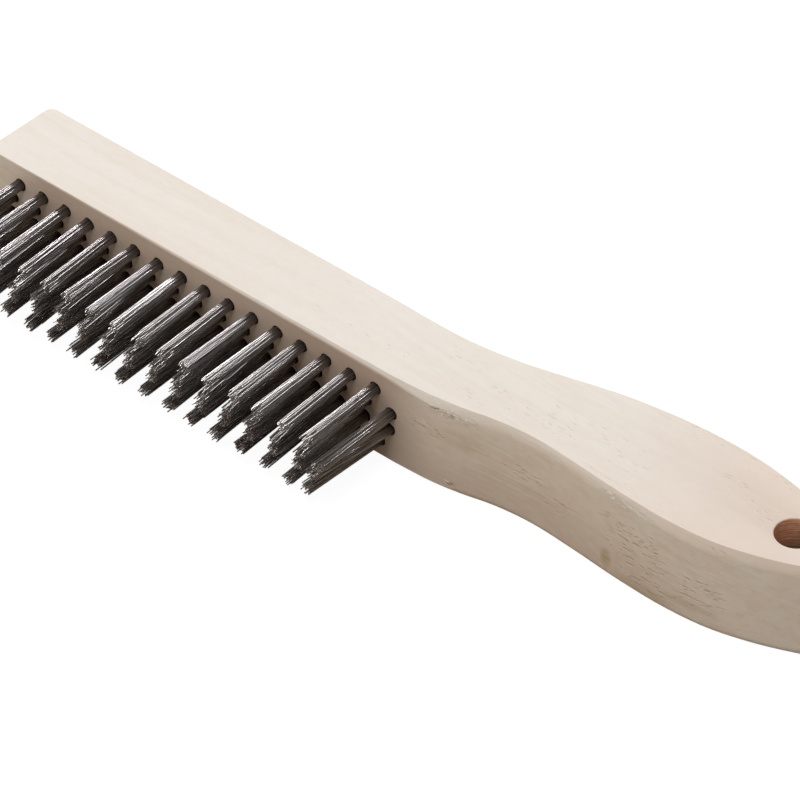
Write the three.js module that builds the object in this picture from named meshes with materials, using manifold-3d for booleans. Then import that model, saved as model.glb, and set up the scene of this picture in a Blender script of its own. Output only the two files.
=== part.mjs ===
// A shoe-handle wire scratch brush lying on one side face of its wooden block.
// Millimetres. +X runs from the toe to the handle's end, +Y from the wire tips to the back
// of the block, and +Z is up, through the block from one side face to the other.
// The drawing coordinates start at the toe (x), the bristle face (y) and the lower side
// face (z). The group then moves the brush so that its origin is the centre of its base.
import * as THREE from 'three';
import { mergeVertices } from 'three/addons/utils/BufferGeometryUtils.js';
import Module from 'manifold-3d';

const wasm = await Module();
wasm.setup();

// Wooden block and handle
const BLOCK_DEPTH = 23.1;
const BLOCK_WIDTH = 27.2;
const TOE_CORNER_RADIUS = 2.5;
const NECK_START_X = 140;
const BACK_RISE_X = 130;
const HANG_HOLE_X = 243;
const HANG_HOLE_Y = 20.2;
const HANG_HOLE_RADIUS = 5;

// Tuft pattern: four rows, the two inner ones staggered and one column longer
const PITCH = 8;
const FIRST_COLUMN_X = 11.4;
const OUTER_COLUMNS = 16;
const INNER_COLUMNS = 17;
const TOP_ROW_Z = 21.1;
const ROW_SPACING = 5.2;
const ROW_SHIFTS = [0, -0.37, -0.43, 0.17];

// Tufts: each is a bundle of wires folded over a staple in a blind hole
const HOLE_RADIUS = 1.75;
const HOLE_DEPTH = 12;
const TUFT_ROOT_Y = 10;
const TUFT_ROOT_RADIUS = 1.4;
const TUFT_TIP_RADIUS = 1.85;
const TRIM = 25;
const INNER_TIP_LEAN = 0.95;

const HOLE_SIDES = 12;
const TUFT_SIDES = 8;
const HANG_HOLE_SIDES = 24;
const OUTLINE_DIVISIONS = 4;
const OVERSHOOT = 2;

const woodMaterial = new THREE.MeshStandardMaterial({
  color: 0xddd2c0,
  roughness: 0.8,
  metalness: 0,
});
const wireMaterial = new THREE.MeshStandardMaterial({
  color: 0x55555a,
  roughness: 0.4,
  metalness: 0.9,
});

function toSolid(geometry) {
  const bare = geometry.clone();
  bare.deleteAttribute('normal');
  bare.deleteAttribute('uv');
  const merged = mergeVertices(bare);
  const mesh = new wasm.Mesh({
    numProp: 3,
    vertProperties: new Float32Array(merged.attributes.position.array),
    triVerts: new Uint32Array(merged.index.array),
  });
  return new wasm.Manifold(mesh);
}

function toGeometry(solid) {
  const mesh = solid.getMesh();
  const geometry = new THREE.BufferGeometry();
  geometry.setAttribute('position', new THREE.BufferAttribute(mesh.vertProperties, 3));
  geometry.setIndex(new THREE.BufferAttribute(mesh.triVerts, 1));
  geometry.computeVertexNormals();
  return geometry;
}

function points(...pairs) {
  return pairs.map(([x, y]) => new THREE.Vector2(x, y));
}

// The block is straight from the toe to the neck. Past the neck its near edge makes a finger
// hollow and a low belly, the end is a round nose, and the back rises to a palm hump.
function blockOutline() {
  const nearEdge = points(
    [149, 0.3], [157, 1.7], [166, 3.9], [177, 4.9], [190, 4.3], [203, 3.3],
    [217, 2.9], [230, 4.0], [241, 6.9], [250, 10.4],
  );
  const nose = points([256, 13.6], [259.6, 18.4], [259.2, 23.4], [254.5, 28.0]);
  const backEdge = points(
    [246, 31.2], [233, 34.4], [221, 36.1], [209, 36.3], [196, 35.3], [182, 33.0],
    [168, 29.3], [155, 25.9], [142, 23.7],
  );
  const r = TOE_CORNER_RADIUS;
  const shape = new THREE.Shape();
  shape.moveTo(r, 0);
  shape.lineTo(NECK_START_X, 0);
  shape.splineThru([...nearEdge, ...nose, ...backEdge, ...points([BACK_RISE_X, BLOCK_DEPTH])]);
  shape.lineTo(r, BLOCK_DEPTH);
  shape.absarc(r, BLOCK_DEPTH - r, r, Math.PI / 2, Math.PI, false);
  shape.lineTo(0, r);
  shape.absarc(r, r, r, Math.PI, 1.5 * Math.PI, false);
  return shape;
}

function tuftPlace(row, column) {
  const x = FIRST_COLUMN_X + PITCH * (column + ROW_SHIFTS[row]);
  const z = TOP_ROW_Z - ROW_SPACING * row;
  return { x, z };
}

function isInnerRow(row) {
  return row === 1 || row === 2;
}

function allTuftPlaces() {
  const places = [];
  for (let row = 0; row < ROW_SHIFTS.length; row += 1) {
    const columns = isInnerRow(row) ? INNER_COLUMNS : OUTER_COLUMNS;
    for (let column = 0; column < columns; column += 1) {
      places.push(tuftPlace(row, column));
    }
  }
  return places;
}

function blockGeometry(outline) {
  const plank = new THREE.ExtrudeGeometry(outline, {
    depth: BLOCK_WIDTH,
    bevelEnabled: false,
    curveSegments: OUTLINE_DIVISIONS,
  });
  const hangHole = new THREE.CylinderGeometry(
    HANG_HOLE_RADIUS, HANG_HOLE_RADIUS, BLOCK_WIDTH + 2 * OVERSHOOT, HANG_HOLE_SIDES,
  );
  hangHole.rotateX(Math.PI / 2);
  hangHole.translate(HANG_HOLE_X, HANG_HOLE_Y, BLOCK_WIDTH / 2);
  let solid = toSolid(plank).subtract(toSolid(hangHole));
  for (const place of allTuftPlaces()) {
    const drill = new THREE.CylinderGeometry(
      HOLE_RADIUS, HOLE_RADIUS, HOLE_DEPTH + OVERSHOOT, HOLE_SIDES,
    );
    drill.translate(place.x, (HOLE_DEPTH - OVERSHOOT) / 2, place.z);
    solid = solid.subtract(toSolid(drill));
  }
  return toGeometry(solid);
}

// One bundle of wires: straight in its hole, then opening slightly towards the trimmed tips.
// tipLean moves the tips along Z, and nothing inside the hole leans.
function tuftGeometry(tipLean) {
  const profile = points(
    [0, -TRIM], [0.75 * TUFT_TIP_RADIUS, -TRIM], [TUFT_TIP_RADIUS, 1 - TRIM],
    [TUFT_ROOT_RADIUS, 0], [TUFT_ROOT_RADIUS, TUFT_ROOT_Y - 1],
    [0.6 * TUFT_ROOT_RADIUS, TUFT_ROOT_Y], [0, TUFT_ROOT_Y],
  );
  const geometry = new THREE.LatheGeometry(profile, TUFT_SIDES);
  const position = geometry.attributes.position;
  for (let i = 0; i < position.count; i += 1) {
    const outside = Math.max(0, -position.getY(i)) / TRIM;
    position.setZ(i, position.getZ(i) + tipLean * outside);
  }
  return geometry;
}

function columnName(column) {
  return String(column + 1).padStart(2, '0');
}

function outerTuft(row, column) {
  const mesh = new THREE.Mesh(toGeometry(toSolid(tuftGeometry(0))), wireMaterial);
  const place = tuftPlace(row, column);
  mesh.name = `wire_tuft_row${row + 1}_${columnName(column)}`;
  mesh.position.set(place.x, 0, place.z);
  return mesh;
}

// The tufts of the two inner rows lean together until their outermost wires touch, so each
// column's pair is one piece.
function innerTuftPair(column) {
  const upper = tuftPlace(1, column);
  const lower = tuftPlace(2, column);
  const upperTuft = tuftGeometry(-INNER_TIP_LEAN);
  const lowerTuft = tuftGeometry(INNER_TIP_LEAN);
  upperTuft.translate(upper.x, 0, upper.z);
  lowerTuft.translate(lower.x, 0, lower.z);
  const pair = toSolid(upperTuft).add(toSolid(lowerTuft));
  const mesh = new THREE.Mesh(toGeometry(pair), wireMaterial);
  mesh.name = `wire_tuft_pair_rows2_3_${columnName(column)}`;
  return mesh;
}

const outline = blockOutline();
const outlineBox = new THREE.Box2().setFromPoints(outline.getPoints(OUTLINE_DIVISIONS));

const brush = new THREE.Group();
brush.position.set(-outlineBox.max.x / 2, -(outlineBox.max.y - TRIM) / 2, 0);

const block = new THREE.Mesh(blockGeometry(outline), woodMaterial);
block.name = 'wooden_block_handle';
brush.add(block);

for (let column = 0; column < OUTER_COLUMNS; column += 1) {
  brush.add(outerTuft(0, column));
}
for (let column = 0; column < INNER_COLUMNS; column += 1) {
  brush.add(innerTuftPair(column));
}
for (let column = 0; column < OUTER_COLUMNS; column += 1) {
  brush.add(outerTuft(3, column));
}

export default brush;
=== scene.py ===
"""A shoe-handle wire scratch brush: a raw wooden block with 66 staple-set tufts of steel wire.

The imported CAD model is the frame, and every place comes from its nodes. The CAD block and its
plain tufts are replaced by a block with eased arrises and drilled holes, by tufts of folded
wires, and by the staples that hold them.

Lengths are in millimetres, and in metres where Blender takes them: times MM, and for the lights
and bumps as they stand. On the block, x is measured from the toe, y from the bristle face and z
from the lower side face.
"""
import math

import bmesh
import bpy
import numpy as np
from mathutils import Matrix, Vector, noise


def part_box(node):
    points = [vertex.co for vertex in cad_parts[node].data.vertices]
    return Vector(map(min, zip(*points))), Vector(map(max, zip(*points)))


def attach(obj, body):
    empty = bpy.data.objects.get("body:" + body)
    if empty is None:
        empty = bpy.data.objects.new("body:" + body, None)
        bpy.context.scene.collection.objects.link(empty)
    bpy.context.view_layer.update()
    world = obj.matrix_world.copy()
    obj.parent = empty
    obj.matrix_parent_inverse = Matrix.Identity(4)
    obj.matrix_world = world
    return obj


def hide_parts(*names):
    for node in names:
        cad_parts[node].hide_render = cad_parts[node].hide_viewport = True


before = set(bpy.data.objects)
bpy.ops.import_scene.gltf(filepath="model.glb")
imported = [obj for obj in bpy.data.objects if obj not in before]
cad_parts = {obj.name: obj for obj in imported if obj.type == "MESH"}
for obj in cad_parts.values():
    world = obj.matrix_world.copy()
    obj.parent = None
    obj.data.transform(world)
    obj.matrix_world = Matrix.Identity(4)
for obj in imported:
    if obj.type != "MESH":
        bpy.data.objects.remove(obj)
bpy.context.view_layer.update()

MM = 0.001
BODY = "root"
BLOCK_NODE = "wooden_block_handle"
SEED = 66

# Camera: a long lens that looks down on the bristle side
CAMERA_AZIMUTH = 41.11
CAMERA_ELEVATION = 41.06
CAMERA_DISTANCE = 1142.5 * MM
CAMERA_LENS = 210.7
CAMERA_SENSOR = 36.0
CAMERA_CLIP_END = 20000 * MM
CAMERA_AIM = Vector((1.07, 3.76, 10.91)) * MM

# Sizes that the CAD model shares
HOLE_RADIUS = 1.75
HOLE_DEPTH = 12.0
TUFT_ROOT_RADIUS = 1.4
TUFT_TIP_RADIUS = 1.85
TRIM = 25.0
INNER_TIP_LEAN = 0.95
HANG_HOLE_RADIUS = 5.0

# Fine shape of the block
TOUCHING = 0.001
OUTLINE_SPACING = 0.6
LONGEST_SPAN = 2.8
WALL_ROWS = 26
ARRIS_STEPS = 8
CAP_MARGIN = 0.3
# From the near edge to the back edge, the near arris turns into the back one between these y
NEAR_ARRIS_END = 6
BACK_ARRIS_START = 14
# The near arris is a narrow flat on the block that widens towards the handle. On the handle it
# is a round that meets the top face at a clear edge and runs into the side with none. An inset
# is how far an arris reaches into the top face, and a drop how far it reaches down the side.
NEAR_STATIONS = (0, 20, 50, 80, 120, 136, 150, 158, 165)
NEAR_INSETS = (0.15, 0.2, 0.35, 0.6, 0.75, 0.85, 1.6, 1.4, 1.2)
NEAR_DROPS = (0.2, 0.3, 0.4, 0.6, 1.0, 1.2, 1.8, 2.4, 2.9)
BACK_STATIONS = (0, 120, 160)
BACK_INSETS = (0.25, 0.3, 1.2)
BACK_DROPS = (0.3, 0.35, 2.9)
ROUND_STATIONS = (0, 149, 166)
ROUND_SHARES = (0, 0, 1)
ROUND_START = 0.43
FLAT_BULGE = 0.06
# The lower arrises are eased less than the upper ones
LOWER_EASE = 0.7

# Torn fibres on the upper near arris: centre, half length and depth. They cut the arris's rings
# and the first ones of the wall below it
TEARS = ((152.0, 4.5, 0.14), (159.0, 3.0, 0.1), (205.0, 9.0, 0.08))
TEAR_GRAIN = (0.5, 2.2, 2.2)
TEAR_FINE_GRAIN = (1.3, 4.0, 4.0)
TEAR_FINE_SHARE = 0.5
TEAR_BIAS = 0.35
TEAR_INWARD = 0.8
TEAR_DOWNWARD = 0.5
TEAR_REACH_Y = 12
TORN_RINGS = slice(1, ARRIS_STEPS + 5)

# Drills: how far their walls stand outside the nominal radius at each height
HOLE_FLARE = ((0.12, -1.0), (0.04, 0.0))
HOLE_WALL_HEIGHTS = (0.3, 4.0, 8.0, HOLE_DEPTH)
HOLE_SIDES = 24
MOUTH_HEIGHT = 0.3
MOUTH_WOBBLE = 0.06
DRILL_POINT_RADIUS = 0.1
DRILL_POINT_LENGTH = 0.9
HANG_FLARE = ((1.3, -1.0), (0.5, 0.0), (0.22, 0.1), (0.08, 0.25), (0, 0.5))
HANG_WALL_SHARES = (0.25, 0.5, 0.75)
HANG_HOLE_SIDES = 72

# The faces of a bore lie between these depths, and no further than a margin from their drill. The
# upright share of a face's normal tells the hanging hole's walls and the level side faces
BORE_START = 0.02
BORE_END = HOLE_DEPTH + 1.5
HOLE_MARGIN = 0.25
HANG_MARGIN = 0.06
WALL_UPRIGHTNESS = 0.9
FLAT_UPRIGHTNESS = 0.9999

# Angles in degrees above which an edge is sharp
BLOCK_SHARP_ANGLE = 20
SHARP_ANGLE = 75

# Wires
WIRE_RADIUS = 0.17
WIRE_SIDES = 6
WIRE_PITCH = 0.468
WIRE_JITTER = 0.02
WIRE_THICKNESSES = (0.93, 1.05)
BUNDLE_RADIUS = 1.45
FREE_STATIONS = (1.0, 0.66, 0.33, 0.1)
LENGTH_SPREAD = 0.5
SHORT_CHANCE = 0.18
SHORT_BY = (0.8, 3.2)
STRAY_CHANCE = 0.09
STRAY_DRIFT = 0.4
WIRE_DRIFT = 0.07
WIRE_BOW = 0.004

# Tufts: how each one's wires open, lean, turn, and sit in their hole
TUFT_SPREADS = (1.04, 1.22)
LEAN_SPREAD = (0.3, 0.12)
SIT = (-0.14, 0.02)
SIT_SPREAD = 0.03
TWIST_DEGREES = 12
# How far the tips lean along x, and the tufts at the neck that lean the other way
TIP_LEAN_X = 0.7
ODD_LEANS = {"row2_17": -1.0, "row3_17": -2.6, "row4_16": -1.6}

# The staple's crown, and how the wires lie over it
CROWN_DEPTH = 8.5
CROWN_SQUEEZE = 0.7
CROWN_CLEARANCE = 0.42
CROWN_STACKING = 0.72
ENTRY_DEPTH = 1.0
STAPLE_RADIUS = 0.35
STAPLE_SIDES = 8
STAPLE_SPAN = 1.3
STAPLE_BEND = 0.4
STAPLE_TIP_DEPTH = 14.5

# Parts of the block that the wood's material tells apart, as the limits of soft masks
TOP_FACE_Z = (24.5, 26.9)
NEAR_SIDE_Y = (14, 11)
BACK_Y = (18, 22)
BRISTLE_FACE_Y = (0.35, 0.1)
# Where the painted shade of the tufts' holes sets in
TUFT_HOLES_X = (160, 150)

# Where the wood's marks set in and fade out, from no mark to the full mark
HANDLE_TONE_X = (178, 236)
TOP_PORES_X = (70, 190)
# Painted shade on the bristle face round the tufts, deepening towards the neck
TUFT_SHADE_START_X = (8, 22)
TUFT_SHADE_END_X = (150, 132)
TUFT_SHADE_DEEPENS_X = (80, 118)
TUFT_SHADE_STRENGTHS = (0.58, 0.8)
# Painted shade low on the near side of the handle, darker towards the lower edge
LOW_SHADE_START_X = (124, 146)
LOW_SHADE_END_X = (240, 210)
LOW_SHADE_Z = (19, 1)
LOW_SHADE_STRENGTH = 0.38
# Painted shade deeper down the bores
DEEP_SHADE_Z = (25, 15)
# Painted light high on the toe-side wall of the hanging hole
LIT_WALL_X = (242, 238.5)
LIT_WALL_Z = (16, 22)

# Marks on the near side of the wood: x, z, half length and half height
TORN_SPOTS = ((151.0, 25.0, 4.0, 0.8), (155.0, 24.6, 3.0, 0.9), (154.0, 3.0, 2.4, 0.8))
FLECK_SPOTS = ((155.0, 24.6, 9.0, 1.9), (206.0, 25.4, 11.0, 1.5))
GOLDEN_SPOTS = ((213.0, 2.6, 12.0, 1.8), (226.0, 5.5, 9.0, 1.6))
FAINT_SPOTS = ((157.0, 18.0, 9.0, 4.0),)
PORE_CLUSTERS = (
    (211.0, 13.5, 13.0, 9.0), (228.0, 10.0, 9.0, 7.0), (214.0, 5.0, 14.0, 3.0),
    (203.0, 18.0, 6.0, 3.5), (148.0, 17.5, 7.0, 2.5), (174.0, 15.5, 8.0, 2.5),
    (184.0, 11.5, 7.0, 3.0),
)
KNOT_PLACE = (200.8, 3.0, 5.4)
KNOT_RADII = (2.4, 4.0, 4.2)

# How far the grain wanders to the back and down, and how unevenly pores lie along it
GRAIN_WANDER_Y = 9.0
GRAIN_WANDER_Z = -7.0
PORE_SHIFT_X = 5.0

# Pores: cells per millimetre on the top and on the sides, and where the painted highlight along
# their lips lies
TOP_PORE_CELLS = (0.42, 1.5, 0.3)
SIDE_PORE_CELLS = (0.38, 0.1, 1.7)
LIP_HIGHLIGHT_OFFSET = (0.0, 0.22, 0.26)

# Growth rings lie nearly level and dip towards the back
RING_DIP = 0.62
RING_WANDER = 5.0
RING_SCALE_X = 0.006
RING_SCALE = 0.42

# Stage
FLOOR_HALF_SIDE = 3000.0
SEEN_FLOOR_Z = -0.02
BOUNCE_FLOOR_Z = -0.04
DOME_RADIUS = 3500.0
WORLD_TINT = (1.0, 0.97, 0.94, 1)
WORLD_STRENGTH = 0.165


def look_direction(azimuth, elevation):
    """Unit vector from the object towards a viewer, for angles in degrees."""
    a, e = math.radians(azimuth), math.radians(elevation)
    return Vector((math.sin(a) * math.cos(e), -math.cos(a) * math.cos(e), math.sin(e)))


# ---------------------------------------------------------------- places from the frame

block_low, block_high = (np.array(corner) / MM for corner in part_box(BLOCK_NODE))
TOE_X, FACE_Y = block_low[:2]
WIDTH = block_high[2] - block_low[2]


def floor_loops(obj):
    """The boundary loops of an object's lowest flat face, longest first, as (n, 2) arrays."""
    bm = bmesh.new()
    bm.from_mesh(obj.data)
    bmesh.ops.remove_doubles(bm, verts=bm.verts, dist=TOUCHING * MM)
    floor_z = min(v.co.z for v in bm.verts) + TOUCHING * MM
    links = {}
    for edge in bm.edges:
        if max(v.co.z for v in edge.verts) > floor_z:
            continue
        flat = [f for f in edge.link_faces if max(v.co.z for v in f.verts) <= floor_z]
        if len(flat) == 1:
            a, b = edge.verts
            links.setdefault(a, []).append(b)
            links.setdefault(b, []).append(a)
    loops = []
    left = dict(links)
    while left:
        loop = [next(iter(left))]
        while loop:
            left.pop(loop[-1], None)
            onward = [v for v in links[loop[-1]] if v in left]
            if not onward:
                break
            loop.append(onward[0])
        loops.append(np.array([v.co[:2] for v in loop]) / MM)
    bm.free()
    return sorted(loops, key=lambda loop: np.ptp(loop[:, 0]), reverse=True)


def counterclockwise(loop):
    x, y = loop.T
    area = np.sum(x * np.roll(y, -1) - np.roll(x, -1) * y)
    return loop if area > 0 else loop[::-1]


def split_long_spans(loop, longest):
    parts = []
    for a, b in zip(loop, np.roll(loop, -1, axis=0)):
        count = max(1, math.ceil(np.linalg.norm(b - a) / longest))
        parts.append(a + (b - a) * (np.arange(count) / count)[:, None])
    return np.concatenate(parts)


def smooth_loop(loop, spacing):
    """Even points on the cubic Hermite curve through a closed loop, with their tangents."""
    ahead = np.roll(loop, -1, axis=0)
    span = np.linalg.norm(ahead - loop, axis=1)[:, None]
    slope = (ahead - loop) / span
    span_before = np.roll(span, 1, axis=0)
    tangent = (slope * span_before + np.roll(slope, 1, axis=0) * span) / (span + span_before)
    along = np.concatenate([[0], np.cumsum(span)])
    count = round(along[-1] / spacing)
    wanted = np.arange(count) / count * along[-1]
    i = np.searchsorted(along, wanted, side="right") - 1
    j = (i + 1) % len(loop)
    t = ((wanted - along[i]) / span[i, 0])[:, None]
    curve = (
        (1 + 2 * t) * (1 - t) ** 2 * loop[i]
        + t * (1 - t) ** 2 * span[i] * tangent[i]
        + t ** 2 * (3 - 2 * t) * loop[j]
        + t ** 2 * (t - 1) * span[i] * tangent[j]
    )
    direction = np.roll(curve, -1, axis=0) - np.roll(curve, 1, axis=0)
    return curve, direction / np.linalg.norm(direction, axis=1)[:, None]


def tuft_places():
    """Each tuft's name, its CAD node, its centre (x, z) on the bristle face, and its tip lean."""
    places = []
    for name in sorted(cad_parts):
        if not name.startswith("wire_tuft"):
            continue
        low, high = (np.array(corner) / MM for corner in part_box(name))
        column = name[-2:]
        if "pair" in name:
            upper = (high[0] - TUFT_TIP_RADIUS, high[2] - TUFT_ROOT_RADIUS)
            lower = (low[0] + TUFT_TIP_RADIUS, low[2] + TUFT_ROOT_RADIUS)
            places.append((f"row2_{column}", name, upper, -INNER_TIP_LEAN))
            places.append((f"row3_{column}", name, lower, INNER_TIP_LEAN))
        else:
            middle = (low + high) / 2
            row = name.split("_")[2]
            places.append((f"{row}_{column}", name, (middle[0], middle[2]), 0.0))
    return places


# ---------------------------------------------------------------- meshes

def make_object(name, vertices, faces, material):
    """A smooth-shaded object from vertices in millimetres."""
    mesh = bpy.data.meshes.new(name)
    mesh.from_pydata((np.asarray(vertices) * MM).tolist(), [], faces)
    mesh.polygons.foreach_set("use_smooth", [True] * len(mesh.polygons))
    mesh.set_sharp_from_angle(angle=math.radians(SHARP_ANGLE))
    mesh.materials.append(material)
    obj = bpy.data.objects.new(name, mesh)
    bpy.context.scene.collection.objects.link(obj)
    return obj


def skin_faces(rings, sides):
    """Faces of a closed body: quads between rings of vertices, and one face over each end."""
    faces = []
    for ring in range(rings - 1):
        a = ring * sides
        for k in range(sides):
            n = (k + 1) % sides
            faces.append((a + k, a + n, a + sides + n, a + sides + k))
    last = (rings - 1) * sides
    faces.append(tuple(reversed(range(sides))))
    faces.append(tuple(range(last, last + sides)))
    return faces


def lathe(profile, sides, place, wobble=0.0, rng=None):
    """A closed body of revolution. profile has (radius, height), and place maps (u, v, h).

    A wobble makes the rings at the mouth uneven.
    """
    vertices = []
    for radius, height in profile:
        uneven = wobble and height <= MOUTH_HEIGHT
        for k in range(sides):
            angle = 2 * math.pi * k / sides
            r = radius + (rng.normal(0, wobble) if uneven else 0)
            vertices.append(place(r * math.cos(angle), r * math.sin(angle), height))
    return vertices, skin_faces(len(profile), sides)


def outward(vertices, faces):
    """The same faces, turned so that they all face out of the closed body."""
    v = np.asarray(vertices)
    volume = 0.0
    for face in faces:
        for k in range(1, len(face) - 1):
            volume += np.dot(v[face[0]], np.cross(v[face[k]], v[face[k + 1]]))
    return faces if volume > 0 else [tuple(reversed(face)) for face in faces]


def join_bodies(bodies):
    vertices, faces = [], []
    for body_vertices, body_faces in bodies:
        start = len(vertices)
        vertices.extend(body_vertices)
        faces.extend(tuple(i + start for i in face) for face in body_faces)
    return vertices, faces


def arris_profile(inset, drop, roundness):
    """Inset and drop of each arris row, from the flat face round to the side, per outline point.

    Each row is on a quadratic curve whose middle control point is near the chord where the arris
    is flat, and on the side face where it is round.
    """
    flat_share = 0.5 - FLAT_BULGE
    control_inset = inset * flat_share * (1 - roundness)
    control_drop = drop * (flat_share * (1 - roundness) + ROUND_START * roundness)
    rows = []
    for t in np.linspace(0, 1, ARRIS_STEPS + 1):
        middle = 2 * t * (1 - t)
        rows.append((
            (1 - t) ** 2 * inset + middle * control_inset,
            middle * control_drop + t ** 2 * drop,
        ))
    return rows


def scaled_noise(point, scale):
    return noise.noise(Vector([value * factor for value, factor in zip(point, scale)]))


def tear_depth(point):
    """How deep the torn fibres cut at a point of the near arris."""
    depth = 0.0
    for centre, reach, most in TEARS:
        near = 1 - ((point[0] - centre) / reach) ** 2
        if near > 0:
            grain = scaled_noise(point, TEAR_GRAIN)
            fine = scaled_noise(point, TEAR_FINE_GRAIN)
            depth += most * near * max(0.0, TEAR_BIAS + grain + TEAR_FINE_SHARE * fine)
    return depth


def block_body(outline, tangent):
    """The block's outer skin, with eased arrises, as rings of vertices round the outline."""
    normal = np.stack([tangent[:, 1], -tangent[:, 0]], axis=1)
    x = outline[:, 0] - TOE_X
    y = outline[:, 1] - FACE_Y
    back_share = np.clip((y - NEAR_ARRIS_END) / (BACK_ARRIS_START - NEAR_ARRIS_END), 0, 1)

    def round_block(near_values, back_values):
        near = np.interp(x, NEAR_STATIONS, near_values)
        back = np.interp(x, BACK_STATIONS, back_values)
        return near * (1 - back_share) + back * back_share

    inset = round_block(NEAR_INSETS, BACK_INSETS)
    drop = round_block(NEAR_DROPS, BACK_DROPS)
    arris = arris_profile(inset, drop, np.interp(x, ROUND_STATIONS, ROUND_SHARES))

    # Rows from the top face over the upper arris, down the wall, and round the lower arris
    upper = [(arris[0][0] + CAP_MARGIN, arris[0][1])] + arris
    walls = []
    for k in range(1, WALL_ROWS):
        share = k / WALL_ROWS
        walls.append((np.zeros_like(drop), drop + (WIDTH - (1 + LOWER_EASE) * drop) * share))
    lower = [
        (row_inset * LOWER_EASE, WIDTH - row_drop * LOWER_EASE)
        for row_inset, row_drop in reversed(upper)
    ]
    rings = []
    for row_inset, row_drop in upper + walls + lower:
        ring = np.empty((len(outline), 3))
        ring[:, :2] = outline - normal * row_inset[:, None]
        ring[:, 2] = WIDTH - row_drop
        rings.append(ring)

    for ring in rings[TORN_RINGS]:
        for k in np.flatnonzero(y < TEAR_REACH_Y):
            depth = tear_depth((x[k], y[k], ring[k, 2]))
            ring[k, :2] -= normal[k] * depth * TEAR_INWARD
            ring[k, 2] -= depth * TEAR_DOWNWARD

    vertices = np.concatenate(rings)
    faces = skin_faces(len(rings), len(outline))
    return vertices.tolist(), outward(vertices, faces)


def drill_bodies(places, hang_centre, rng):
    """What the drills take away: a blind hole for each tuft, and the hanging hole."""
    profile = [(HOLE_RADIUS + flare, h) for flare, h in HOLE_FLARE]
    profile += [(HOLE_RADIUS, h) for h in HOLE_WALL_HEIGHTS]
    profile.append((DRILL_POINT_RADIUS, HOLE_DEPTH + DRILL_POINT_LENGTH))
    bodies = []
    for _, _, (x, z), _ in places:
        vertices, faces = lathe(
            profile, HOLE_SIDES, lambda u, v, h: (x + u, FACE_Y + h, z + v), MOUTH_WOBBLE, rng,
        )
        bodies.append((vertices, outward(vertices, faces)))
    profile = [(HANG_HOLE_RADIUS + flare, h) for flare, h in HANG_FLARE]
    profile += [(HANG_HOLE_RADIUS, WIDTH * share) for share in HANG_WALL_SHARES]
    profile += [(HANG_HOLE_RADIUS + flare, WIDTH - h) for flare, h in reversed(HANG_FLARE)]
    cx, cy = hang_centre
    vertices, faces = lathe(profile, HANG_HOLE_SIDES, lambda u, v, h: (cx + u, cy + v, h))
    bodies.append((vertices, outward(vertices, faces)))
    return bodies


def apply_cut(obj, cutter):
    cut = obj.modifiers.new("cut", "BOOLEAN")
    cut.operation = "DIFFERENCE"
    cut.solver = "MANIFOLD"
    cut.object = cutter
    evaluated = obj.evaluated_get(bpy.context.evaluated_depsgraph_get())
    mesh = bpy.data.meshes.new_from_object(evaluated)
    obj.modifiers.clear()
    obj.data = mesh
    bpy.data.objects.remove(cutter)


def polygon_vectors(mesh, attribute):
    values = np.empty(len(mesh.polygons) * 3)
    mesh.polygons.foreach_get(attribute, values)
    return values.reshape(-1, 3)


def mark_bores(mesh, places, hang_centre):
    """Give the hole walls the bored wood's material, and shade the side faces flat."""
    x, y, z = (polygon_vectors(mesh, "center") / MM).T
    uprightness = abs(polygon_vectors(mesh, "normal")[:, 2])
    in_bore = np.zeros(len(x), dtype=bool)
    in_depth = (y > FACE_Y + BORE_START) & (y < FACE_Y + BORE_END)
    for _, _, (hole_x, hole_z), _ in places:
        in_bore |= in_depth & (np.hypot(x - hole_x, z - hole_z) < HOLE_RADIUS + HOLE_MARGIN)
    off = np.hypot(x - hang_centre[0], y - hang_centre[1])
    in_bore |= (off < HANG_HOLE_RADIUS + HANG_MARGIN) & (uprightness < WALL_UPRIGHTNESS)
    mesh.polygons.foreach_set("material_index", in_bore.astype(np.int32))
    flat = (uprightness > FLAT_UPRIGHTNESS) & (np.minimum(z, WIDTH - z) < TOUCHING)
    mesh.polygons.foreach_set("use_smooth", ~flat)
    mesh.set_sharp_from_angle(angle=math.radians(BLOCK_SHARP_ANGLE))


def half_lattice():
    """Centres of the wires in one half of a bundle, on a triangular lattice with u > 0."""
    points = []
    row_step = WIRE_PITCH * math.sqrt(0.75)
    reach = math.ceil(BUNDLE_RADIUS / WIRE_PITCH)
    for i in range(int(BUNDLE_RADIUS / row_step) + 1):
        u = (i + 0.5) * row_step
        for j in range(-reach, reach + 1):
            v = (j + 0.5 * (i % 2)) * WIRE_PITCH
            if math.hypot(u, v) <= BUNDLE_RADIUS:
                points.append((u, v))
    return points


def tube(path, radius, sides):
    """A closed round wire along a path of points, with its two ends cut flat."""
    path = np.asarray(path)
    step = np.gradient(path, axis=0)
    step /= np.linalg.norm(step, axis=1)[:, None]
    side = np.array([1.0, 0.0, 0.0])
    vertices = []
    for point, along in zip(path, step):
        side = side - along * side.dot(along)
        side /= np.linalg.norm(side)
        up = np.cross(along, side)
        for k in range(sides):
            angle = 2 * math.pi * k / sides
            vertices.append(point + radius * (math.cos(angle) * side + math.sin(angle) * up))
    return vertices, skin_faces(len(path), sides)


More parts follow.
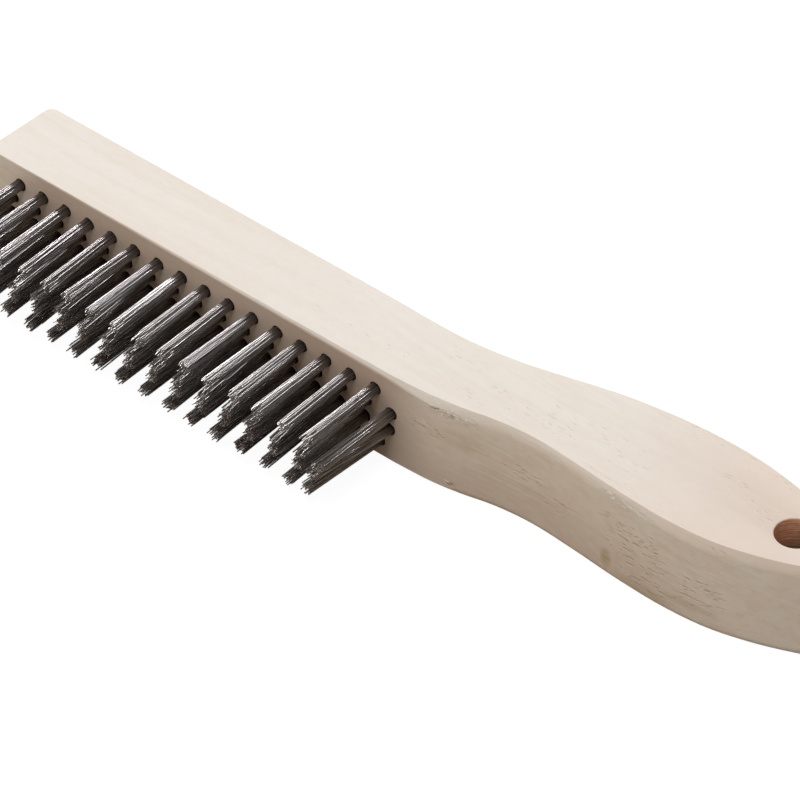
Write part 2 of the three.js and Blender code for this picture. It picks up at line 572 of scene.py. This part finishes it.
def wire_end(u, v, lean, spread, rng):
    """Points of one end of a wire, from its tip towards the hole, about the bundle's axis."""
    length = TRIM + rng.normal(0.0, LENGTH_SPREAD)
    if rng.random() < SHORT_CHANCE:
        length -= rng.uniform(*SHORT_BY)
    stray = STRAY_DRIFT if rng.random() < STRAY_CHANCE else WIRE_DRIFT
    drift = rng.normal(0.0, stray, 2)
    bow = rng.normal(0.0, WIRE_BOW, 2)
    points = []
    for share in FREE_STATIONS:
        open_by = 1 + (spread - 1) * share
        bend = share * (1 - share) * 4
        points.append((
            u * open_by + drift[0] * share + bow[0] * bend + lean[0] * share,
            -length * share,
            v * open_by + drift[1] * share + bow[1] * bend + lean[1] * share,
        ))
    return points


def tuft_body(centre, tip_lean, rng):
    """Wires folded in half over the staple's crown at the bottom of a hole, and out again."""
    x, z = centre
    bodies = []
    spread = rng.uniform(*TUFT_SPREADS)
    lean = [middle + rng.normal(0.0, width) for middle, width in zip(tip_lean, LEAN_SPREAD)]
    sit = [rng.normal(middle, SIT_SPREAD) for middle in SIT]
    twist = rng.normal(0.0, math.radians(TWIST_DEGREES))
    cos_t, sin_t = math.cos(twist), math.sin(twist)
    for u, v in LATTICE:
        u += rng.normal(0.0, WIRE_JITTER)
        v += rng.normal(0.0, WIRE_JITTER)
        fold = CROWN_CLEARANCE + CROWN_STACKING * u
        ends = []
        for side in (1, -1):
            end = wire_end(v, side * u, lean, spread, rng)
            end.append((v, ENTRY_DEPTH, side * u))
            end.append((v * CROWN_SQUEEZE, CROWN_DEPTH, side * fold))
            ends.append(end)
        over = [
            (v * CROWN_SQUEEZE, CROWN_DEPTH + fold * math.sin(angle), fold * math.cos(angle))
            for angle in (math.pi / 3, 2 * math.pi / 3)
        ]
        points = []
        for a, h, b in ends[0] + over + ends[1][::-1]:
            share = min(1.0, max(0.0, 1 - h / CROWN_DEPTH))
            points.append((
                x + a * cos_t - b * sin_t + sit[0] * share,
                FACE_Y + h,
                z + a * sin_t + b * cos_t + sit[1] * share,
            ))
        bodies.append(tube(points, WIRE_RADIUS * rng.uniform(*WIRE_THICKNESSES), WIRE_SIDES))
    return join_bodies(bodies)


def staple_body(centre):
    """A U of wire: its crown holds the fold, and its legs run on into the wood."""
    x, z = centre
    leg = [(STAPLE_SPAN, STAPLE_TIP_DEPTH), (STAPLE_SPAN, CROWN_DEPTH + STAPLE_BEND + 1)]
    for angle in (0, 30, 60, 90):
        a = math.radians(angle)
        leg.append((
            STAPLE_SPAN - STAPLE_BEND * (1 - math.cos(a)),
            CROWN_DEPTH + STAPLE_BEND * (1 - math.sin(a)),
        ))
    half = [(x + across, FACE_Y + h, z) for across, h in leg]
    other = [(x - across, FACE_Y + h, z) for across, h in reversed(leg)]
    return tube(half + other, STAPLE_RADIUS, STAPLE_SIDES)


# ---------------------------------------------------------------- shader nodes

def add_node(tree, kind, inputs=None, **settings):
    """Add a shader node. An input takes a socket, or a plain value."""
    made = tree.nodes.new("ShaderNode" + kind)
    for key, value in settings.items():
        setattr(made, key, value)
    for key, value in (inputs or {}).items():
        if isinstance(value, bpy.types.NodeSocket):
            tree.links.new(value, made.inputs[key])
        else:
            made.inputs[key].default_value = value
    return made


def calculate(tree, operation, *values):
    return add_node(tree, "Math", dict(enumerate(values)), operation=operation).outputs[0]


def multiply(tree, first, *others):
    for value in others:
        first = calculate(tree, "MULTIPLY", first, value)
    return first


def add_vectors(tree, a, b):
    return add_node(tree, "VectorMath", {0: a, 1: b}, operation="ADD").outputs[0]


def split(tree, vector):
    return add_node(tree, "SeparateXYZ", {"Vector": vector}).outputs


def combine(tree, **axes):
    return add_node(tree, "CombineXYZ", axes).outputs[0]


def remap(tree, value, low, high, to_low=0.0, to_high=1.0):
    made = add_node(tree, "MapRange", {
        "Value": value, "From Min": low, "From Max": high, "To Min": to_low, "To Max": to_high,
    }, interpolation_type="SMOOTHSTEP")
    return made.outputs["Result"]


def blend_colours(tree, factor, a, b, blend="MIX"):
    made = add_node(tree, "Mix", {0: factor, 6: a, 7: b}, data_type="RGBA", blend_type=blend)
    return made.outputs[2]


def side_or_top(tree, upper, on_sides, on_top):
    """A strength that differs between the sides and the top face."""
    return remap(tree, upper, 0.0, 1.0, on_sides, on_top)


def layer(tree, base, colour_over, mask, strength):
    """Lay a colour over the base where the mask is, at a strength from 0 to 1."""
    return blend_colours(tree, multiply(tree, mask, strength), base, colour_over)


def stretch(tree, vector, scale, location=(0, 0, 0)):
    made = add_node(tree, "Mapping", {"Vector": vector, "Scale": scale, "Location": location})
    return made.outputs[0]


def noise_value(tree, vector, scale, detail=2.0, rough=0.5):
    made = add_node(tree, "TexNoise", {
        "Vector": stretch(tree, vector, scale), "Scale": 1.0, "Detail": detail,
        "Roughness": rough,
    })
    return made.outputs["Fac"]


def set_bump(tree, shader, height, strength, distance):
    bump = add_node(tree, "Bump", {"Height": height, "Strength": strength, "Distance": distance})
    tree.links.new(bump.outputs[0], shader.inputs["Normal"])


def colour(red, green, blue):
    """Linear RGBA from 0 to 255 sRGB values."""
    def linear(value):
        c = value / 255
        return c / 12.92 if c <= 0.04045 else ((c + 0.055) / 1.055) ** 2.4
    return (linear(red), linear(green), linear(blue), 1.0)


def start_material(name):
    material = bpy.data.materials.new(name)
    material.use_nodes = True
    tree = material.node_tree
    return material, tree, tree.nodes["Principled BSDF"]


def millimetres(tree):
    """Object coordinates in millimetres, from the toe, the bristle face and the lower face."""
    texture = add_node(tree, "TexCoord")
    return stretch(
        tree, texture.outputs["Object"], (1 / MM,) * 3, (-TOE_X, -FACE_Y, 0),
    )


def distance_in_radii(tree, place, centre, radii):
    """Distance from a centre, in units of a radius of its own along each axis."""
    scale = [1 / radius for radius in radii]
    location = [-middle / radius for middle, radius in zip(centre, radii)]
    away = stretch(tree, place, scale, location)
    return add_node(tree, "VectorMath", {0: away}, operation="LENGTH").outputs["Value"]


def spots(tree, place, near, table):
    """1 inside soft ellipses on the near side: x, z, half length and half height."""
    total = None
    for x, z, reach, rise in table:
        away = distance_in_radii(tree, place, (x, 0, z), (reach, math.inf, rise))
        spot = remap(tree, away, 1.0, 0.4)
        total = calculate(tree, "MAXIMUM", total, spot) if total else spot
    return multiply(tree, total, near)


def dashes(tree, vector, scale, share):
    """Dashes inside stretched cells, where share is the part of the cells that has one."""
    cells = add_node(tree, "TexVoronoi", {"Vector": stretch(tree, vector, scale), "Scale": 1.0})
    chance = add_node(tree, "SeparateColor", {"Color": cells.outputs["Color"]}).outputs[0]
    rare = calculate(tree, "LESS_THAN", chance, share)
    return multiply(tree, remap(tree, cells.outputs["Distance"], 0.4, 0.14), rare)


# ---------------------------------------------------------------- materials

WOOD_PALE = colour(229, 220, 207)
WOOD_WARM = colour(227, 216, 201)
WOOD_HANDLE = colour(221, 202, 184)
WOOD_LATE = colour(206, 186, 160)
WOOD_PORE = colour(150, 122, 94)
WOOD_KNOT = colour(176, 158, 112)
WOOD_GAP = colour(138, 92, 58)
WOOD_ROSY = colour(216, 190, 170)
# Painted shade on the bristle face and low on the near side of the handle
WOOD_SHADE = colour(187, 165, 148)
# Pale torn fibre ends, partly a painted highlight, and the painted highlight along the pores'
# lips
WOOD_FLECK_AND_HIGHLIGHT = colour(253, 246, 230)
BORE_LIGHT = colour(212, 172, 138)
BORE_DARK = colour(186, 142, 110)
# Painted light on a wall of the hanging hole
BORE_LIT_WALL = colour(226, 160, 124)
# Scoring rings, and painted shade deeper down the bores
BORE_SCORING_AND_SHADE = colour(96, 68, 48)
# Painted shade in the tufts' holes
BORE_HOLE_SHADE = colour(92, 68, 50)
# Painted shade on the wires where they come out of the wood
WIRE_ROOT_SHADE = colour(74, 58, 48)
STEEL_DARK = (0.275, 0.246, 0.232, 1)
STEEL_BRIGHT = (0.8, 0.745, 0.7, 1)
ZINC_DARK = (0.3, 0.3, 0.31, 1)
ZINC_BRIGHT = (0.5, 0.5, 0.51, 1)


def wood_ground(tree, place, parts, upper):
    """The pale ground colour, which turns warmer on top of the handle."""
    tone = noise_value(tree, place, (0.012, 0.045, 0.045))
    base = blend_colours(tree, remap(tree, tone, 0.35, 0.65), WOOD_PALE, WOOD_WARM)
    to_handle = multiply(tree, remap(tree, parts["X"], *HANDLE_TONE_X), upper)
    return layer(tree, base, WOOD_HANDLE, to_handle, strength=0.8)


def growth_rings(tree, place, parts, wander):
    """A noise that is constant along each growth ring, and broken thin lines between rings."""
    level = calculate(tree, "ADD", parts["Z"], multiply(tree, parts["Y"], RING_DIP))
    level = calculate(tree, "ADD", level, multiply(tree, wander, RING_WANDER))
    ring_place = combine(
        tree, X=multiply(tree, parts["X"], RING_SCALE_X), Y=multiply(tree, level, RING_SCALE),
    )
    rings = noise_value(tree, ring_place, (1, 1, 1), detail=3.0, rough=0.6)
    off_line = calculate(tree, "ABSOLUTE", calculate(tree, "SUBTRACT", rings, 0.5))
    lines = remap(tree, off_line, 0.03, 0.0)
    broken = noise_value(tree, place, (0.02, 0.1, 0.1), detail=1.0)
    return rings, multiply(tree, lines, remap(tree, broken, 0.45, 0.65))


def pores(tree, place, parts, grain, upper, clusters):
    """Short dashes along the grain, and a painted highlight along their lower edges.

    There are a few on top and on the back, and clusters on the near side.
    """
    crowding = noise_value(tree, place, (0.03, 0.16, 0.16))
    crowd = remap(tree, crowding, 0.52, 0.64, to_high=0.55)
    on_top = multiply(tree, remap(tree, parts["X"], *TOP_PORES_X), upper)
    top_share = multiply(tree, crowd, on_top)
    back = multiply(tree, remap(tree, parts["Y"], *BACK_Y), crowd)
    side_share = calculate(
        tree, "MAXIMUM", multiply(tree, clusters, 1.1), multiply(tree, back, 0.5),
    )
    side_share = multiply(tree, side_share, calculate(tree, "SUBTRACT", 1.0, upper))

    shift_x = noise_value(tree, place, (0.4, 0.6, 0.6), detail=1.0)
    shift_y = noise_value(tree, place, (0.2, 0.5, 0.5), detail=1.0)
    shift = combine(tree, X=multiply(tree, shift_x, PORE_SHIFT_X), Y=shift_y)
    uneven = add_vectors(tree, grain, shift)
    lip_place = add_vectors(tree, uneven, LIP_HIGHLIGHT_OFFSET)

    def dashes_at(vector, top_strength):
        top = multiply(tree, dashes(tree, vector, TOP_PORE_CELLS, top_share), top_strength)
        return calculate(
            tree, "MAXIMUM", top, dashes(tree, vector, SIDE_PORE_CELLS, side_share),
        )

    return dashes_at(uneven, 0.6), dashes_at(lip_place, 0.4)


def add_blotches(tree, base, place, upper):
    """Soft blotches, a few millimetres wide, fainter on top."""
    amount = side_or_top(tree, upper, on_sides=0.22, on_top=0.07)
    wide = noise_value(tree, place, (0.11, 0.25, 0.25), detail=3.0, rough=0.6)
    base = layer(tree, base, WOOD_ROSY, remap(tree, wide, 0.4, 0.62), amount)
    small = noise_value(tree, place, (0.3, 0.6, 0.6), detail=3.0, rough=0.6)
    return layer(tree, base, WOOD_LATE, remap(tree, small, 0.45, 0.65), amount)


def add_painted_shade(tree, base, parts, near):
    """Painted shade on the face round the tufts, and painted shade low on the near side of the
    handle.
    """
    # Painted shade on the bristle face, where the tufts shade it; deeper towards the neck
    tuft_shade = multiply(
        tree, remap(tree, parts["Y"], *BRISTLE_FACE_Y),
        remap(tree, parts["X"], *TUFT_SHADE_START_X), remap(tree, parts["X"], *TUFT_SHADE_END_X),
    )
    deeper = remap(tree, parts["X"], *TUFT_SHADE_DEEPENS_X, *TUFT_SHADE_STRENGTHS)
    base = layer(tree, base, WOOD_SHADE, tuft_shade, deeper)
    # Painted shade, darker towards the lower edge of the handle's near side
    handle = multiply(
        tree, remap(tree, parts["X"], *LOW_SHADE_START_X), remap(tree, parts["X"], *LOW_SHADE_END_X), near,
    )
    lower = remap(tree, parts["Z"], *LOW_SHADE_Z, to_high=LOW_SHADE_STRENGTH)
    return layer(tree, base, WOOD_SHADE, handle, lower)


def add_knot(tree, base, place):
    """A small knot low on the near face of the handle."""
    away = distance_in_radii(tree, place, KNOT_PLACE, KNOT_RADII)
    knot_grain = noise_value(tree, place, (0.25, 1.5, 1.5), detail=3.0)
    knot = multiply(
        tree, remap(tree, away, 1.0, 0.3), remap(tree, knot_grain, 0.3, 0.7, to_low=0.45),
    )
    return layer(tree, base, WOOD_KNOT, knot, strength=0.8)


def torn_fibres(tree, place, near):
    """Dark gaps and pale raised ends of torn fibres on the near side. The pale ends are paler
    wood and partly a painted highlight.
    """
    streaks = noise_value(tree, place, (0.45, 3.0, 3.0), rough=0.6)
    splinters = spots(tree, place, near, TORN_SPOTS)
    gap = multiply(tree, splinters, remap(tree, streaks, 0.53, 0.62))
    flecked = calculate(tree, "MAXIMUM", splinters, spots(tree, place, near, FLECK_SPOTS))
    return gap, multiply(tree, flecked, remap(tree, streaks, 0.48, 0.41))


def wood_material():
    material, tree, shader = start_material("raw_wood")
    place = millimetres(tree)
    parts = split(tree, place)
    upper = remap(tree, parts["Z"], *TOP_FACE_Z)
    near = remap(tree, parts["Y"], *NEAR_SIDE_Y)

    # The grain wanders a little round the length
    wander = noise_value(tree, place, (0.012, 0.03, 0.03), detail=1.0)
    grain = add_vectors(tree, place, combine(
        tree, Y=multiply(tree, wander, GRAIN_WANDER_Y), Z=multiply(tree, wander, GRAIN_WANDER_Z),
    ))
    fibre = noise_value(tree, grain, (0.09, 2.6, 2.6), detail=4.0, rough=0.65)
    rings, ring_edge = growth_rings(tree, place, parts, wander)
    clusters = spots(tree, place, near, PORE_CLUSTERS)
    pore, lip_highlight = pores(tree, place, parts, grain, upper, clusters)
    gap, fleck = torn_fibres(tree, place, near)

    base = wood_ground(tree, place, parts, upper)
    base = layer(tree, base, WOOD_LATE, remap(tree, rings, 0.46, 0.66), strength=0.12)
    fibre_shade = remap(tree, fibre, 0.3, 0.7, 0.992, 1.008)
    grey = add_node(tree, "CombineColor", {
        "Red": fibre_shade, "Green": fibre_shade, "Blue": fibre_shade,
    }).outputs[0]
    base = blend_colours(tree, 1.0, base, grey, "MULTIPLY")
    line_shade = side_or_top(tree, upper, on_sides=0.16, on_top=0.04)
    base = layer(tree, base, WOOD_PORE, ring_edge, line_shade)
    pore_shade = side_or_top(tree, upper, on_sides=0.13, on_top=0.42)
    base = layer(tree, base, WOOD_PORE, pore, pore_shade)
    # Painted highlight along the lower edges of the pores
    base = layer(tree, base, WOOD_FLECK_AND_HIGHLIGHT, lip_highlight, strength=0.5)
    base = add_blotches(tree, base, place, upper)
    base = add_painted_shade(tree, base, parts, near)
    base = add_knot(tree, base, place)
    golden = spots(tree, place, near, GOLDEN_SPOTS)
    base = layer(tree, base, WOOD_KNOT, golden, strength=0.32)
    faint = spots(tree, place, near, FAINT_SPOTS)
    base = layer(tree, base, WOOD_KNOT, faint, strength=0.2)
    base = layer(tree, base, WOOD_GAP, gap, strength=0.85)
    # The pale torn fibre ends are partly a painted highlight
    base = layer(tree, base, WOOD_FLECK_AND_HIGHLIGHT, fleck, strength=0.95)
    tree.links.new(base, shader.inputs["Base Color"])

    tree.links.new(remap(tree, fibre, 0.3, 0.7, 0.68, 0.86), shader.inputs["Roughness"])
    shader.inputs["Specular IOR Level"].default_value = 0.3

    # Fibres, pores, ring edges and tears stand out in the surface. Pores are deeper in clusters
    patches = noise_value(tree, place, (0.03, 0.12, 0.12))
    height = multiply(tree, fibre, remap(tree, patches, 0.4, 0.7, 0.03, 0.22))
    pore_depth = calculate(tree, "ADD", multiply(tree, clusters, 1.2), 0.7)
    for mark, depth in ((pore, pore_depth), (ring_edge, 0.15), (gap, 0.5)):
        height = calculate(tree, "SUBTRACT", height, multiply(tree, mark, depth))
    height = calculate(tree, "ADD", height, fleck)
    set_bump(tree, shader, height, strength=1.0, distance=0.00014)
    return material


def bore_material():
    """Bored wood: scored by the drill, with painted shade deeper down, and painted shade darkest
    in the tufts' holes.
    """
    material, tree, shader = start_material("bored_wood")
    place = millimetres(tree)
    parts = split(tree, place)
    scoring = noise_value(tree, place, (0.12, 0.12, 2.4), detail=3.0)
    mottled = noise_value(tree, place, (0.3, 0.8, 0.8))
    base = blend_colours(tree, remap(tree, mottled, 0.3, 0.7), BORE_LIGHT, BORE_DARK)
    base = layer(tree, base, BORE_SCORING_AND_SHADE, remap(tree, scoring, 0.45, 0.7), strength=0.5)
    # Painted shade, darker deeper down the bores
    base = layer(tree, base, BORE_SCORING_AND_SHADE, remap(tree, parts["Z"], *DEEP_SHADE_Z), strength=0.8)
    # Painted light, lighter and redder, high on the toe-side wall of the hanging hole
    lit_wall = multiply(
        tree, remap(tree, parts["X"], *LIT_WALL_X), remap(tree, parts["Z"], *LIT_WALL_Z),
    )
    base = layer(tree, base, BORE_LIT_WALL, lit_wall, strength=0.6)
    # Painted shade: the walls of the tufts' holes are dark brown
    base = blend_colours(tree, remap(tree, parts["X"], *TUFT_HOLES_X), base, BORE_HOLE_SHADE)
    tree.links.new(base, shader.inputs["Base Color"])
    shader.inputs["Roughness"].default_value = 0.85
    shader.inputs["Specular IOR Level"].default_value = 0.2
    set_bump(tree, shader, scoring, strength=1.0, distance=0.0003)
    return material


def wire_material(name, dark, bright, rough_low, rough_high):
    """Drawn steel: each wire has its own tone, with dull patches along it."""
    material, tree, shader = start_material(name)
    place = millimetres(tree)
    each = add_node(tree, "NewGeometry").outputs["Random Per Island"]
    patches = noise_value(tree, place, (1.5, 0.12, 1.5))
    own = multiply(tree, calculate(tree, "POWER", each, 1.8), 0.9)
    tone = calculate(tree, "ADD", own, remap(tree, patches, 0.3, 0.7, to_high=0.12))
    base = blend_colours(tree, tone, dark, bright)
    # Painted shade: the wires turn dark brown where they come out of the wood
    root_shade = remap(tree, split(tree, place)["Y"], -5.0, 0.5, to_high=0.75)
    base = blend_colours(tree, root_shade, base, WIRE_ROOT_SHADE)
    tree.links.new(base, shader.inputs["Base Color"])
    shader.inputs["Metallic"].default_value = 0.8
    rough = remap(tree, patches, 0.3, 0.7, rough_low, rough_high)
    tree.links.new(rough, shader.inputs["Roughness"])
    drawing = noise_value(tree, place, (9.0, 0.12, 9.0), detail=1.0)
    set_bump(tree, shader, drawing, strength=0.25, distance=0.000003)
    return material


wood = wood_material()
bored = bore_material()
steel = wire_material("steel_wire", STEEL_DARK, STEEL_BRIGHT, rough_low=0.26, rough_high=0.36)
zinc = wire_material("staple_wire", ZINC_DARK, ZINC_BRIGHT, rough_low=0.35, rough_high=0.5)


# ---------------------------------------------------------------- the brush

LATTICE = half_lattice()

rng = np.random.default_rng(SEED)
places = tuft_places()
block_loop, hang_loop = floor_loops(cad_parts[BLOCK_NODE])[:2]
hang_centre = hang_loop.mean(axis=0)
outline, tangent = smooth_loop(
    split_long_spans(counterclockwise(block_loop), LONGEST_SPAN), OUTLINE_SPACING,
)

block = make_object("block_and_handle", *block_body(outline, tangent), wood)
cutter = make_object("drills", *join_bodies(drill_bodies(places, hang_centre, rng)), bored)
apply_cut(block, cutter)
block.data.materials.clear()
block.data.materials.append(wood)
block.data.materials.append(bored)
mark_bores(block.data, places, hang_centre)
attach(block, BODY)
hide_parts(BLOCK_NODE)

for label, node_name, centre, tip_lean in places:
    leans = (ODD_LEANS.get(label, TIP_LEAN_X), tip_lean)
    tuft = make_object("tuft_" + label, *tuft_body(centre, leans, rng), steel)
    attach(tuft, BODY)
    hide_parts(node_name)

for label, _, centre, _ in places:
    staple = make_object("staple_" + label, *staple_body(centre), zinc)
    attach(staple, BODY)


# ---------------------------------------------------------------- stage, light and camera

def floor_material(name, albedo, glow):
    material, _, shader = start_material(name)
    shader.inputs["Base Color"].default_value = (*albedo, 1)
    shader.inputs["Roughness"].default_value = 0.9
    shader.inputs["Specular IOR Level"].default_value = 0.0
    shader.inputs["Emission Color"].default_value = (1, 1, 1, 1)
    shader.inputs["Emission Strength"].default_value = glow
    return material


def floor_plane(name, z, material):
    half = FLOOR_HALF_SIDE
    corners = [(-half, -half, z), (half, -half, z), (half, half, z), (-half, half, z)]
    plane = make_object(name, corners, [(0, 1, 2, 3)], material)
    return plane


def floor_dome(name, material):
    """A ball far round the stage, so that the floor has no dark horizon."""
    bm = bmesh.new()
    bmesh.ops.create_uvsphere(bm, u_segments=48, v_segments=24, radius=DOME_RADIUS * MM)
    mesh = bpy.data.meshes.new(name)
    bm.to_mesh(mesh)
    bm.free()
    mesh.materials.append(material)
    dome = bpy.data.objects.new(name, mesh)
    bpy.context.scene.collection.objects.link(dome)
    return dome


def area_light(name, direction, distance, size, power, tint):
    data = bpy.data.lights.new(name, "AREA")
    data.shape = "DISK"
    data.size = size
    data.energy = power
    data.color = tint
    light = bpy.data.objects.new(name, data)
    toward = Vector(direction).normalized()
    light.location = toward * distance
    light.rotation_euler = toward.to_track_quat("Z", "Y").to_euler()
    bpy.context.scene.collection.objects.link(light)


# The seen floor is white with a faint shadow, and the floor under it gives a duller bounce
white = floor_material("floor", albedo=(0.1, 0.1, 0.1), glow=0.95)
seen_floor = floor_plane("floor", SEEN_FLOOR_Z, white)
backdrop = floor_dome("backdrop", white)
for seen in (seen_floor, backdrop):
    for ray in ("diffuse", "glossy", "transmission", "shadow"):
        setattr(seen, "visible_" + ray, False)
dull = floor_material("floor_bounce", albedo=(0.45, 0.4, 0.34), glow=0.0)
bounce_floor = floor_plane("floor_bounce", BOUNCE_FLOOR_Z, dull)
bounce_floor.visible_camera = False

area_light(
    "key", (-0.5, 0.5, 0.707), distance=2.2, size=0.4, power=30.6, tint=(0.98, 1.02, 1.1),
)
area_light(
    "overhead", (0.15, -0.3, 0.94), distance=1.6, size=0.6, power=10.6, tint=(0.985, 1.02, 1.1),
)
area_light(
    "front_fill", (-0.3, -0.88, 0.33), distance=1.8, size=2.2, power=9.1, tint=(1.03, 0.84, 0.64),
)

world = bpy.data.worlds.new("studio")
world.use_nodes = True
background = world.node_tree.nodes["Background"]
background.inputs["Color"].default_value = WORLD_TINT
background.inputs["Strength"].default_value = WORLD_STRENGTH
bpy.context.scene.world = world

camera_data = bpy.data.cameras.new("camera")
camera_data.lens = CAMERA_LENS
camera_data.sensor_width = CAMERA_SENSOR
camera_data.clip_end = CAMERA_CLIP_END
camera = bpy.data.objects.new("camera", camera_data)
toward = look_direction(CAMERA_AZIMUTH, CAMERA_ELEVATION)
camera.location = CAMERA_AIM + toward * CAMERA_DISTANCE
camera.rotation_euler = toward.to_track_quat("Z", "Y").to_euler()
bpy.context.scene.collection.objects.link(camera)
bpy.context.scene.camera = camera
bpy.context.scene.view_settings.view_transform = "Standard"
